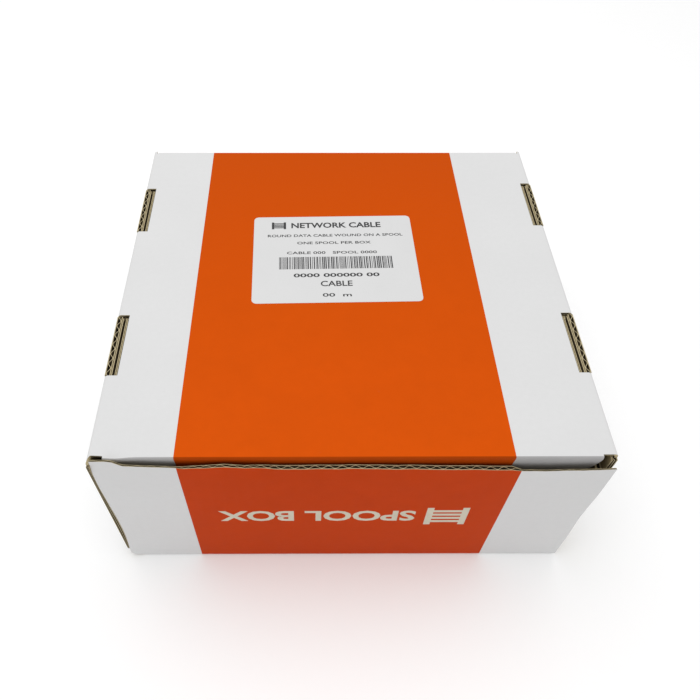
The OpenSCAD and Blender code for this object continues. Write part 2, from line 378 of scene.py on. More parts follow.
class Shade:
    """A material under construction: its node tree, shader and coordinates."""

    def __init__(self, name, **constants):
        self.material = bpy.data.materials.new(name)
        self.material.use_nodes = True
        self.tree = self.material.node_tree
        self.shader = self.tree.nodes["Principled BSDF"]
        for socket, value in constants.items():
            self.shader.inputs[socket.replace("_", " ")].default_value = value
        self.place = self.add("ShaderNodeTexCoord", (), output="Object")
        self.x, self.y, self.z = self.split(self.place)

    def add(self, kind, values=(), output=0, stops=(), **settings):
        """A node with its settings, then its sockets' values or links, by order or name."""
        node = self.tree.nodes.new(kind)
        for setting, value in settings.items():
            setattr(node, setting, value)
        for k, (where, colour) in enumerate(stops):
            ramp = node.color_ramp.elements
            element = ramp[k] if k < len(ramp) else ramp.new(where)
            element.position = where
            element.color = colour
        pairs = values.items() if isinstance(values, dict) else enumerate(values)
        for socket, value in pairs:
            if isinstance(value, Link):
                self.tree.links.new(value.socket, node.inputs[socket])
            else:
                node.inputs[socket].default_value = value
        return Link(self, node.outputs[output])

    def split(self, vector):
        """The three numbers of a vector."""
        first = self.add("ShaderNodeSeparateXYZ", (vector,))
        return [Link(self, s) for s in first.socket.node.outputs]

    def stretch(self, x, y, z):
        """The place, scaled along each axis, for a grain that runs one way."""
        return self.add("ShaderNodeMapping", {0: self.place, 3: (x, y, z)})

    def noise(self, scale, detail=3.0, roughness=0.5, vector=None):
        """Cloudy noise about 0.5, scale blobs to the metre."""
        values = {"Vector": vector or self.place, "Scale": scale, "Detail": detail, "Roughness": roughness}
        return self.add("ShaderNodeTexNoise", values)

    def ramp(self, value, *stops):
        """A number carried through grey stops of (place, level)."""
        grey = [(where, (level, level, level, 1)) for where, level in stops]
        return self.add("ShaderNodeValToRGB", (value,), stops=grey)

    def mix(self, factor, first, second):
        """A colour part of the way from first to second."""
        return self.add("ShaderNodeMix", {0: factor, 6: first, 7: second}, output=2, data_type="RGBA")

    def finish(self, colour=None, roughness=None, height=None, depth=0.0001):
        """Feeds the shader: colour, roughness and a bump whose full height is depth."""
        if colour is not None:
            self.tree.links.new(colour.socket, self.shader.inputs["Base Color"])
        if roughness is not None:
            self.tree.links.new(roughness.socket, self.shader.inputs["Roughness"])
        if height is not None:
            bump = self.add("ShaderNodeBump", {"Height": height, "Distance": depth, "Strength": 1.0})
            self.tree.links.new(bump.socket, self.shader.inputs["Normal"])
        return self.material


def opaque(colour, level=1.0):
    """A colour property as the four numbers of a socket, at a level of brightness."""
    return (colour[0] * level, colour[1] * level, colour[2] * level, 1.0)


def printed_paper(name, band, orange_ink, flute, painted_shade=0.0):
    """White coated liner with an orange band from band[0] to band[1] along X. flute is the axis across the
    flutes, whose pitch shows faintly through the liner. The last argument is how far the whole liner is
    darkened towards near black: painted shade, for a strip that lies in shade."""
    prints = bpy.context.scene.spool_box_print
    s = Shade(name, Specular_IOR_Level=0.02)
    cloud = s.noise(18, 4)
    grain = s.noise(1400, 2)
    mottle = s.noise(330, 4, 0.62)
    white = s.mix(cloud, opaque(prints.white, 0.97), opaque(prints.white, 1.03))
    white = s.mix(s.ramp(mottle, (0.3, 0.0), (0.75, 1.0)) * 0.35, white, opaque(prints.white, 0.94))
    orange = s.mix(cloud, opaque(orange_ink, 0.95), opaque(orange_ink, 1.06))
    blotch = s.ramp(s.noise(90, 5, 0.7), (0.35, 0.0), (0.8, 1.0))
    orange = s.mix(blotch * 0.5, orange, opaque(orange_ink, 0.88))
    pin = s.ramp(s.noise(2600, 1), (0.68, 0.0), (0.74, 1.0))
    orange = s.mix(pin * 0.3, orange, opaque(orange_ink, 1.3))
    drift = s.ramp(s.y * 4.0 + 0.5, (0.0, 0.0), (1.0, 1.0))
    orange = s.mix(drift, orange, opaque(orange_ink, 0.84))
    inside = (s.x > band[0]) * (s.x < band[1])
    colour = s.mix(inside, white, orange)
    scuff = s.ramp(s.noise(55, 9, 0.75), (0.66, 0.0), (0.78, 1.0))
    colour = s.mix(scuff * 0.16, colour, (0.36, 0.33, 0.30, 1.0))
    # Painted shade: the whole liner darkened towards near black, a little unevenly.
    if painted_shade:
        colour = s.mix(cloud * 0.2 + painted_shade - 0.1, colour, (0.015, 0.003, 0.001, 1.0))
    gloss = 0.5 - inside * 0.1 + (mottle - 0.5) * 0.16 + scuff * 0.1
    pitch = bpy.context.scene.spool_box_board.pitch
    across = {"x": s.x, "y": s.y, "z": s.z}[flute]
    ripple = (across * (2 * np.pi / pitch)).sine() * 0.5
    height = ripple * 0.5 + s.noise(26, 3) * 1.5 + grain * 0.12 + mottle * 0.2
    return s.finish(colour, gloss, height, 0.00006)


def kraft_paper(name, light, dark, run):
    """Brown kraft: long fibres along the run axis, flecks and a faint tone change."""
    s = Shade(name)
    scale = {"x": (0.15, 1, 1), "y": (1, 0.15, 1), "z": (1, 1, 0.15)}[run]
    fibre = s.noise(900, 5, 0.65, s.stretch(*scale))
    cloud = s.noise(40, 4)
    colour = s.mix(s.ramp(fibre, (0.32, 0.0), (0.72, 1.0)), opaque(dark), opaque(light))
    colour = s.mix(cloud * 0.3, colour, opaque(light, 0.8))
    fleck = s.ramp(s.noise(1900, 2), (0.7, 0.0), (0.76, 1.0))
    colour = s.mix(fleck * 0.55, colour, opaque(dark, 0.5))
    return s.finish(colour, 0.82 + (fibre - 0.5) * 0.15, fibre + cloud * 0.4, 0.00009)


def label_paper(name):
    """Coated label stock: nearly even white, with a few grey rubs."""
    s = Shade(name, Specular_IOR_Level=0.3)
    cloud = s.noise(30, 4)
    rub = s.ramp(s.noise(70, 8, 0.7, s.stretch(1, 0.35, 1)), (0.6, 0.0), (0.75, 1.0))
    colour = s.mix(cloud, (0.64, 0.64, 0.64, 1), (0.69, 0.69, 0.69, 1))
    colour = s.mix(rub * 0.25, colour, (0.5, 0.5, 0.5, 1))
    return s.finish(colour, 0.38 + (cloud - 0.5) * 0.2, s.noise(1500, 2), 0.00002)


def ink(name, colour, wear):
    """Printed ink with pin holes: wear is how far the holes lighten it."""
    s = Shade(name)
    hole = s.ramp(s.noise(2400, 3, 0.7), (0.6, 0.0), (0.7, 1.0))
    cloud = s.noise(120, 3)
    tone = s.mix(cloud, opaque(colour, 0.85), opaque(colour, 1.15))
    tone = s.mix(hole * wear, tone, (0.55, 0.55, 0.53, 1))
    return s.finish(tone, 0.5 + (cloud - 0.5) * 0.2, s.noise(1800, 2), 0.00002)


def moulded_plastic(name, colour, rough, grain):
    """Moulded plastic: fine spark texture, slow tone change, a few paler rubs."""
    s = Shade(name)
    spark = s.noise(grain, 4, 0.6)
    cloud = s.noise(25, 3)
    rub = s.ramp(s.noise(60, 8, 0.75), (0.62, 0.0), (0.8, 1.0))
    tone = s.mix(cloud, opaque(colour, 0.85), opaque(colour, 1.15))
    tone = s.mix(rub * 0.2, tone, opaque(colour, 1.6))
    return s.finish(tone, rough + (spark - 0.5) * 0.2 + rub * 0.1, spark, 0.00006)


def cable_jacket(name):
    """Grey jacket of the cable: matt, with a dusty bloom and faint rub marks."""
    s = Shade(name)
    cloud = s.noise(90, 4)
    bloom = s.ramp(s.noise(420, 5, 0.7), (0.4, 0.0), (0.8, 1.0))
    tone = s.mix(cloud, (0.33, 0.34, 0.345, 1), (0.4, 0.41, 0.415, 1))
    tone = s.mix(bloom * 0.25, tone, (0.55, 0.56, 0.56, 1))
    return s.finish(tone, 0.42 + bloom * 0.15, s.noise(1200, 3), 0.00004)


def wound_tube(name):
    """A tube of wound kraft paper: a spiral seam every 60 mm of height."""
    s = Shade(name)
    angle = s.add("ShaderNodeMath", (s.y - AXIS_Y, s.x), operation="ARCTAN2")
    turn = s.add("ShaderNodeMath", (s.z * (1 / 0.06) + angle * (0.5 / np.pi),), operation="FRACT")
    seam = s.ramp(turn, (0.0, 0.0), (0.02, 1.0))
    fibre = s.noise(800, 5, 0.65, s.stretch(1, 1, 0.3))
    tone = s.mix(fibre, (0.30, 0.20, 0.11, 1), (0.47, 0.34, 0.2, 1))
    tone = s.mix((1 - seam) * 0.6, tone, (0.16, 0.1, 0.055, 1))
    return s.finish(tone, 0.75 + (fibre - 0.5) * 0.1, fibre * 0.3 + seam, 0.0001)


def floor_paint(name):
    """The plain pale ground that the case stands on."""
    s = Shade(name, Emission_Color=(1, 1, 1, 1), Emission_Strength=0.12)
    cloud = s.noise(3, 2)
    tone = s.mix(cloud, (0.88, 0.88, 0.88, 1), (0.90, 0.90, 0.90, 1))
    return s.finish(tone, 0.8 + (cloud - 0.5) * 0.05)


FINISHES = {}


def finish_named(name):
    """The material of a finish, made when it is first used."""
    prints = bpy.context.scene.spool_box_print
    top_band = (prints.lid_band_left, prints.lid_band_right)
    front_band = (prints.wall_band_left, prints.wall_band_right)
    nowhere = (9.0, 9.1)
    makers = {
        "print_lid": (printed_paper, top_band, prints.lid_orange, "y"),
        # A copy of the lid's print darkened with painted shade, for the strip below the front bend that
        # lies in shade.
        "print_tuck": (printed_paper, top_band, prints.lid_orange, "y", 0.42),
        # The walls' band takes the darker orange, painted shade.
        "print_wall": (printed_paper, front_band, prints.wall_orange_painted_shade, "x"),
        "print_white": (printed_paper, nowhere, prints.wall_orange_painted_shade, "y"),
        "kraft_y": (kraft_paper, prints.kraft, prints.kraft_dark, "y"),
        "kraft_z": (kraft_paper, prints.kraft, prints.kraft_dark, "z"),
        "cut": (kraft_paper, prints.cut, prints.kraft, "z"),
        # Near black inside the flutes, darker than the kraft paper is: painted shade in the board's
        # hollows.
        "flute": (kraft_paper, prints.flute, prints.flute_painted_shade, "x"),
        "tape": (kraft_paper, (0.62, 0.55, 0.42), (0.5, 0.43, 0.31), "x"),
        "label_paper": (label_paper,),
        "label_ink": (ink, (0.02, 0.02, 0.022), 0.22),
        "cream_ink": (ink, prints.cream, 0.08),
        "black_plastic": (moulded_plastic, (0.022, 0.023, 0.025), 0.45, 700),
        "grommet_plastic": (moulded_plastic, (0.03, 0.03, 0.032), 0.5, 900),
        "nylon": (moulded_plastic, (0.62, 0.62, 0.58), 0.35, 400),
        "cable_jacket": (cable_jacket,),
        "tube": (wound_tube,),
        "pale_ground": (floor_paint,),
    }
    if name not in FINISHES:
        maker, *values = makers[name]
        FINISHES[name] = maker(name, *values)
    return FINISHES[name]


# ---------------------------------------------------------------- settings

def length(name, description, default):
    """A setting that is a length, in metres."""
    return bpy.props.FloatProperty(
        name=name, description=description, default=default, unit="LENGTH")


def colour(name, description, default):
    """A setting that is a colour."""
    return bpy.props.FloatVectorProperty(
        name=name, description=description, default=default, subtype="COLOR")


class BoardSettings(bpy.types.PropertyGroup):
    """The corrugated board's own sizes."""
    pitch: length("Flute Pitch", "From one flute to the next", 0.00666)
    liner: length("Liner", "Thickness of a liner", 0.00046)
    medium: length("Medium", "Thickness of the fluted paper", 0.00038)
    bend: length("Bend", "Outer radius of the lid's creases", 0.0022)
    front_bend: length("Front Bend", "Outer radius of the lid's sharper front crease", 0.0007)
    bottom_bend: length("Bottom Bend", "Outer radius at the bottom of the front wall", 0.0026)
    crushed: length("Crushed", "Thickness of the board at a crease", 0.0014)


class PrintSettings(bpy.types.PropertyGroup):
    """Where the band lies, and the papers' and inks' colours."""
    lid_band_left: length("Lid Band Left", "Left edge of the band on the lid", -0.0875)
    lid_band_right: length("Lid Band Right", "Right edge of the band on the lid", 0.0795)
    wall_band_left: length("Wall Band Left", "Left edge of the band on the front wall", -0.0865)
    wall_band_right: length("Wall Band Right", "Right edge of the band on the front wall", 0.0834)
    white: colour("White", "Colour of the coated liner", (0.70, 0.70, 0.70))
    lid_orange: colour("Lid Orange", "Colour of the band on the lid", (0.66, 0.084, 0.002))
    # The walls' orange is the lid's orange made darker, as painted shade for the front's orange lying
    # deeper in shade than the lamps give.
    wall_orange_painted_shade: colour("Wall Orange", "Colour of the band on the walls", (0.52, 0.047, 0.002))
    kraft: colour("Kraft", "Colour of the brown liner", (0.42, 0.34, 0.19))
    kraft_dark: colour("Kraft Fibre", "Colour of the brown liner's fibres", (0.29, 0.22, 0.11))
    cut: colour("Cut Edge", "Colour of the papers' cut edges", (0.56, 0.48, 0.29))
    # The two flute colours are near black, darker than kraft paper: painted shade in the board's hollows.
    flute: colour("Flute", "Colour inside the flutes", (0.13, 0.095, 0.045))
    flute_painted_shade: colour("Flute Shade", "Darkest colour inside the flutes", (0.05, 0.036, 0.018))
    cream: colour("Cream", "Colour of the front mark", (0.60, 0.56, 0.44))


class CableSettings(bpy.types.PropertyGroup):
    """The wound cable."""
    diameter: length("Cable", "Diameter of the cable", 0.006)


class LightSettings(bpy.types.PropertyGroup):
    """The studio."""
    sky: bpy.props.FloatProperty(
        name="Sky", description="Strength of the even light from all round", default=0.70,
        subtype="FACTOR")
    lamp: bpy.props.FloatProperty(
        name="Lamp", description="Power of the soft lamp above", default=11.3, unit="POWER")


SETTINGS = {
    "spool_box_board": BoardSettings,
    "spool_box_print": PrintSettings,
    "spool_box_cable": CableSettings,
    "spool_box_light": LightSettings,
}


# ---------------------------------------------------------------- pieces

def settle(shape, name, finishes, body, slot, *nodes, smooth=35):
    """Makes a piece from a shape, gives it its finishes and puts it on its body."""
    piece = shape.object(name, [finish_named(f) for f in finishes], smooth)
    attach(piece, body)
    if nodes:
        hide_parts(*nodes)


def board(name, node, u, v, inside, place, outer, body, slot, inner="kraft_y", phase=0.0):
    """Makes a piece of corrugated board in the place of a node.

    u runs across the flutes and v along them; place(U, V, W) puts a point W above
    the inner face, up to BOARD. The liners are flat slabs, and the medium is
    W = BOARD / 2 - reach * cos(2 pi (u - phase) / pitch), one slab of paper thick.
    """
    settings = bpy.context.scene.spool_box_board
    liner, paper, pitch = settings.liner, settings.medium, settings.pitch
    reach = BOARD / 2 - liner - paper / 2
    shape = Shape()

    def face(w):
        return lambda U, V: place(U, V, np.full_like(U, w))

    def wave(offset):
        return lambda U, V: place(
            U, V, BOARD / 2 - reach * np.cos(2 * np.pi * (U - phase) / pitch) + offset
        )

    shape.add(*closed_sheet(u, v, inside, face(BOARD - liner), face(BOARD), (0, 2, 3)))
    shape.add(*closed_sheet(u, v, inside, face(0), face(liner), (2, 1, 3)))
    fine = lines(u[0], u[-1], pitch / 12, u)
    shape.add(*closed_sheet(fine, v, inside, wave(-paper / 2), wave(paper / 2), (2, 2, 3)))
    # The faces inside the board take the flute finish, near black as painted shade.
    settle(shape, name, (outer, inner, "flute", "cut"), body, slot, node)


class BuildFrontWall(bpy.types.Operator):
    """Front wall: its raw top edge wanders, its ends are crushed and its left one rises"""
    bl_idname = "spool_box.front_wall"
    bl_label = "Front Wall"

    def execute(self, context):
        low, high = WALL_LOW, WALL_HIGH
        bend = context.scene.spool_box_board.bottom_bend
        face = low[1] + 0.1 * MM
        end = 9 * MM              # reach of the shaping at the left end
        lifted = 5 * MM           # the lower left corner is rounded up by this
        crushed = 12 * MM         # reach of the crushing below the top edge
        lean = 1.2 * MM           # of the left end's top, into the case
        bow = 0.9 * MM            # of the right edge, at mid height
        bow_low, bow_high = 24 * MM, 84 * MM

        def place(U, V, W):
            share = (V - low[2]) / (high[2] - low[2])
            top_edge = TOP - np.interp(U, EDGE_X, EDGE_DROP) + wander(U, 3, 0.12 * MM, 0.03)
            near = np.clip((U - low[0]) / end, 0, 1)
            bottom_edge = lifted * (1 - np.sqrt(1 - (1 - near) ** 2))
            z = bottom_edge + share * (top_edge - bottom_edge)
            near_top = smooth_step(z, top_edge - crushed, top_edge)
            down = np.clip(bend - z, 0, bend)
            round_in = 0.8 * (bend - np.sqrt(bend ** 2 - down ** 2))
            thick = (BOARD - 0.15 * MM - round_in) * (
                1 - near_top * (1 - np.interp(U, EDGE_X, EDGE_LEFT)))
            leaning = lean * smooth_step(-U, 112 * MM, 121 * MM) * near_top
            ripple = np.abs(wander(U, 7, 0.3 * MM, 0.05)) * near_top
            y = face + leaning + ripple + round_in + (1 - W / BOARD) * thick
            bowed = np.sin(np.pi * np.clip((z - bow_low) / (bow_high - bow_low), 0, 1)) ** 2
            reach = low[0] - LID_LOW[0] - left_edge(z) - 0.1 * MM
            x = U - bow * bowed * np.clip((U - high[0]) / (10 * MM) + 1, 0, 1) - reach * (1 - near)
            return np.stack([x, y, z], -1)

        u = lines(low[0], high[0], 4 * MM, low[0] + np.arange(1, 9) * MM, EDGE_X[1:-1],
                  high[0] - np.array([2, 4, 6, 8]) * MM)
        v = lines(low[2], high[2], 5 * MM, np.array([0.5, 1, 1.5, 2, 3]) * MM,
                  high[2] - np.array([1, 2, 4, 6, 8, 10]) * MM)
        board("front_wall_board", "front_wall", u, v, everywhere, place, "print_wall", "case",
              "printed_board", phase=14.7 * MM)
        return {"FINISHED"}


class BuildLid(bpy.types.Operator):
    """Lid: a flat board with four open slots, and raw at its front corners"""
    bl_idname = "spool_box.lid"
    bl_label = "Lid"

    def execute(self, context):
        low, high = LID_LOW, LID_HIGH
        settings = context.scene.spool_box_board
        flat_x = high[0] - settings.bend
        flat_front = low[1] + settings.front_bend
        flat_back = high[1] - settings.bend
        corner = high[0] - CORNER
        slot_x = high[0] - SLOT_DEPTH

        def inside(U, V):
            cut = np.zeros_like(U, bool)
            for beyond, places in ((V < -slot_x, SLOT_Y["left"]), (V > slot_x, SLOT_Y["right"])):
                for y in places:
                    cut |= (np.abs(U - y) < SLOT / 2) & beyond
            return ~cut & ((U > RAW_Y) | (np.abs(V) < corner))

        def place(U, V, W):
            raw = (1 - smooth_step(U, RAW_Y, RAW_Y + 6 * MM)) * smooth_step(
                np.abs(V), corner - 8 * MM, corner)
            thick = BOARD - (BOARD - settings.crushed * 0.8) * raw
            return np.stack([V, U, TOP - (1 - W / BOARD) * thick - dent_at(V, U)], -1)

        slots = [[y - SLOT / 2, y + SLOT / 2] for side in SLOT_Y for y in SLOT_Y[side]]
        u = lines(flat_front, flat_back, 5 * MM, slots, RAW_Y, low[1] + np.arange(1, 10) * 2 * MM)
        v = lines(-flat_x, flat_x, 6 * MM, [-slot_x, slot_x, -corner, corner],
                  -flat_x + np.arange(1, 26) * MM)
        board("lid_board", "lid_panel", u, v, inside, place, "print_lid", "lid", "printed_board")
        return {"FINISHED"}


def dent_at(x, y):
    """Depth of the dent by the lid's front left corner: 1.7 mm at its middle, and
    falling off as exp(-d ** 2) over an oval of 7 by 5 mm."""
    across = (x + 117 * MM) / (7 * MM)
    along = (y + 123 * MM) / (5 * MM)
    return 1.7 * MM * np.exp(-across ** 2 - along ** 2)


def crease(name, r, corner, inward, run, limits, finish, tail, lean=0.0, slant=0.0):
    """A folded strip of board: a quarter turn less the lean, then a straight tail.

    corner is the point where the two outer faces would meet, inward the way into the
    lid and run the direction of the crease. A point is
    centre - r * (inward * sin a + down * cos a), with a from 0 at the lid, and then
    goes on by the tail along the arc's last direction. Its first end is drawn out by
    the slant where it meets the flap.
    """
    crushed = min(bpy.context.scene.spool_box_board.crushed, 0.9 * r)
    down = np.array([0, 0, -1.0])
    corner, inward, run = (np.array(p, float) for p in (corner, inward, run))
    centre = corner + r * inward + r * down
    end = np.pi / 2 - lean

    def at(depth):
        def points(U, V):
            a = np.minimum(U, end)
            spoke = -inward * np.sin(a)[..., None] - down * np.cos(a)[..., None]
            ahead = -inward * np.cos(a)[..., None] + down * np.sin(a)[..., None]
            drawn = slant * smooth_step(U, 0, end) * np.clip(1 - (V - limits[0]) / (5 * MM), 0, 1)
            point = centre + (r - depth) * spoke + (V - drawn)[..., None] * run
            point += ahead * r * (U - a)[..., None]
            point[..., 2] -= dent_at(point[..., 0], point[..., 1])
            return point
        return points

    shape = Shape()
    steps = np.append(np.linspace(0, end, 13), end + tail / r)
    v = lines(limits[0], limits[1], 2 * MM)
    shape.add(*closed_sheet(steps, v, everywhere, at(crushed), at(0), (0, 1, 2)))
    piece = shape.object(name, [finish_named(f) for f in (finish, "kraft_y", "cut")], 50)
    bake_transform(piece)


class BuildCreases(bpy.types.Operator):
    """Creases: the folded strips that join the lid to its flaps and to the back wall"""
    bl_idname = "spool_box.creases"
    bl_label = "Creases"

    def execute(self, context):
        bend = context.scene.spool_box_board.bend
        sharp = context.scene.spool_box_board.front_bend
        tail = TOP - bend - float(BACK_HIGH[2])
        for side, name in ((-1, "left"), (1, "right")):
            ends = [RAW_Y]
            for y in SLOT_Y[name]:
                ends += [y - SLOT / 2, y + SLOT / 2]
            ends += [LID_HIGH[1]]
            for k in range(3):
                crease(f"side_crease_{name}_{k + 1}", bend, (side * LID_HIGH[0], 0, TOP), (-side, 0, 0),
                       (0, 1, 0), (ends[2 * k], ends[2 * k + 1]), "print_white",
                       tail, slant=0.0 if k or side > 0 else 3.6 * MM)
        half = LID_HIGH[0] - CORNER
        # The front crease takes the lid's print darkened with painted shade.
        crease("front_crease", sharp, (0, LID_LOW[1], TOP), (0, 1, 0), (1, 0, 0), (-half, half),
               "print_tuck",
               TUCK_START + (BOARD / 2 - sharp) / np.cos(TUCK_LEAN) + 0.1 * MM, TUCK_LEAN)
        inner = BACK_HIGH[0]
        crease("back_crease", bend, (0, LID_HIGH[1], TOP), (0, -1, 0), (1, 0, 0), (-inner, inner),
               "print_lid", tail)
        return {"FINISHED"}


class BuildTuckFlap(bpy.types.Operator):
    """Tuck flap: a tapered board that leans into the case behind the front wall"""
    bl_idname = "spool_box.tuck_flap"
    bl_label = "Tuck Flap"

    def execute(self, context):
        low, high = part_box("tuck_flap")
        half_top = float(high[0])
        long = (CREASE_Z - low[2] - BOARD / 2 * np.sin(TUCK_LEAN)) / np.cos(TUCK_LEAN)
        crushed = context.scene.spool_box_board.crushed

        def place(U, V, W):
            flare = 0.9 * MM * (1 - smooth_step(U, 6 * MM, 14 * MM))
            x = V * (half_top + flare - TUCK_TAPER * (U / long) ** 1.7)
            thick = crushed + (BOARD - crushed) * smooth_step(U, TUCK_START, TUCK_START + 4 * MM)
            off = BOARD / 2 - (1 - W / BOARD) * thick
            y = FOLD_Y + U * np.sin(TUCK_LEAN) - off * np.cos(TUCK_LEAN)
            z = CREASE_Z - U * np.cos(TUCK_LEAN) - off * np.sin(TUCK_LEAN)
            return np.stack([x, y, z], -1)

        u = lines(TUCK_START, long, 4 * MM, TUCK_START + np.array([0.5, 1, 1.5, 2, 2.5, 3, 4]) * MM)
        # The tuck flap takes the lid's print darkened with painted shade.
        board("tuck_flap_board", "tuck_flap", u, np.linspace(-1, 1, 41), everywhere, place,
              "print_tuck", "front_flap", "printed_board")
        return {"FINISHED"}


class BuildSideFlaps(bpy.types.Operator):
    """Side flaps: boards that hang outside the inner walls, with lugs in the slots"""
    bl_idname = "spool_box.side_flaps"
    bl_label = "Side Flaps"

    def execute(self, context):
        corner = 8 * MM           # the left flap's lower front corner is rounded by this
        for side, name in ((-1, "left"), (1, "right")):
            node = "side_flap_" + name
            low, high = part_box(node)
            body_top = high[2] - ABOVE_WALL
            reach = HINGE_Y - WALL_HIGH[1] - 0.4 * MM
            front = float(low[1])
            left = side < 0
            outer = high[0] if side > 0 else -low[0]

            def front_edge(z):
                if left:
                    return np.full_like(z, front)
                return HINGE_Y - np.sqrt(reach ** 2 - (CREASE_Z - z) ** 2)

            def inside(U, V):
                return (V < body_top) | in_slots(U, name)

            def place(U, V, W):
                share = (U - high[1]) / (front - high[1])
                y = high[1] + share * (front_edge(V) - high[1])
                from_front = np.clip((U - front) / corner, 0, 1)
                lift = corner * (1 - np.sqrt(1 - (1 - from_front) ** 2))
                lift = lift * np.clip(1 - (V - low[2]) / (20 * MM), 0, 1) * left
                near = 1 - smooth_step(U, front + 3.2 * MM, front + 12 * MM)
                near = near * (V <= body_top) * left
                thick = BOARD - near * (BOARD - left_edge(V + lift))
                return np.stack([side * (outer - (1 - W / BOARD) * thick), y, V + lift], -1)

            u = lines(front, high[1], 5 * MM, lug_ends(name),
                      front + np.array([0.3, 1, 2, 3.5, 5, 7, 9]) * MM)
            v = lines(low[2], high[2], 6 * MM, [body_top], low[2] + np.arange(1, 5) * 4 * MM)
            board(node + "_board", node, u, v, inside, place, "print_white", name + "_flap",
                  "white_board")
        return {"FINISHED"}


def left_edge(z):
    """Thickness of the left side flap at its front edge."""
    return np.interp(z, FLAP_Z, FLAP_LEFT)


def lug_ends(name, short=0.0):
    """Where the lugs or tabs on a side begin and end along Y."""
    return np.ravel([[y - TAB / 2, y + TAB / 2 - short] for y in SLOT_Y[name]])


def in_slots(y, name, short=0.0):
    """True at the places along Y where a lug or tab stands."""
    ends = lug_ends(name, short)
    return ((y > ends[0]) & (y < ends[1])) | ((y > ends[2]) & (y < ends[3]))


def plain_board(name, node, across, through, side, outer, slot, inside=everywhere,
                extra_u=(), extra_v=(), inner="kraft_y"):
    """A flat board that fills a node's box on the case: a point is (U, V, W) along the
    axis across the flutes, the third axis and the axis through the board. side is 1
    or -1, the way that the outer face points."""
    low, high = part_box(node)
    along = 3 - across - through
    base = low[through] if side > 0 else high[through]

    def place(U, V, W):
        point = np.zeros(U.shape + (3,))
        point[..., across] = U
        point[..., along] = V
        point[..., through] = base + side * W
        return point

    u = lines(low[across], high[across], 8 * MM, extra_u)
    v = lines(low[along], high[along], 8 * MM, extra_v)
    board(name, node, u, v, inside, place, outer, "case", slot, inner)


def outside_circle(x, y, radius):
    """Keeps what lies outside a circle."""
    return lambda U, V: (U - x) ** 2 + (V - y) ** 2 > radius ** 2


class BuildInnerBoards(bpy.types.Operator):
    """Inner boards: side walls with tabs, back wall, bottom, corner tabs and floor pad"""
    bl_idname = "spool_box.inner_boards"
    bl_label = "Inner Boards"

    def execute(self, context):
        for side, name in ((-1, "left"), (1, "right")):
            node = "inner_side_" + name
            low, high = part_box(node)
            wall_top = high[2] - ABOVE_WALL
            front = low[1] + 7 * MM
            corner_z = wall_top - 12 * MM

            def inside(U, V):
                wall = (U < wall_top) & ((V > front) | (U < corner_z))
                return wall | in_slots(V, name, TAB_SHORT)

            plain_board(node + "_board", node, 2, 0, side, "kraft_y", "kraft_board", inside,
                        [wall_top, corner_z], np.append(lug_ends(name, TAB_SHORT), front))
            for end, way in (("front", -1), ("back", 1)):
                node = f"glue_tab_{end}_{name}"
                plain_board(node + "_board", node, 0, 1, way, "kraft_z", "kraft_board",
                            inner="kraft_z")
        low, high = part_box("outlet_grommet")
        x, _, z = (low + high) / 2
        near = np.arange(-15, 16) * MM
        plain_board("back_wall_board", "back_wall", 0, 1, 1, "print_wall", "printed_board",
                    outside_circle(x, z, 15 * MM), x + near, z + near)
        plain_board("bottom_board", "bottom_panel", 0, 2, -1, "print_wall", "printed_board")
        near = np.arange(-33, 34, 3) * MM
        plain_board("floor_pad_board", "floor_pad", 0, 2, 1, "kraft_y", "kraft_board",
                    outside_circle(0, AXIS_Y, 33 * MM), near, AXIS_Y + near)
        return {"FINISHED"}


def add_icon(shape, place, width, height, centre, thick):
    """Adds a spool seen from the side: two flanges with four turns between them. Its
    slabs are laid out in a box one wide and one high, then stretched."""
    turns = -0.36 + 0.2 * np.arange(4)
    low = np.array([(-0.5, -0.5, 0), (0.34, -0.5, 0)] + [(-0.34, t, 0) for t in turns])
    high = np.array([(-0.34, 0.5, 0), (0.5, 0.5, 0)] + [(0.34, t + 0.12, 0) for t in turns])
    scale = np.array([width, height, 0])
    points, faces = slabs(low * scale + centre, high * scale + centre + [0, 0, thick])
    shape.add(place(points), [(faces, 0)])


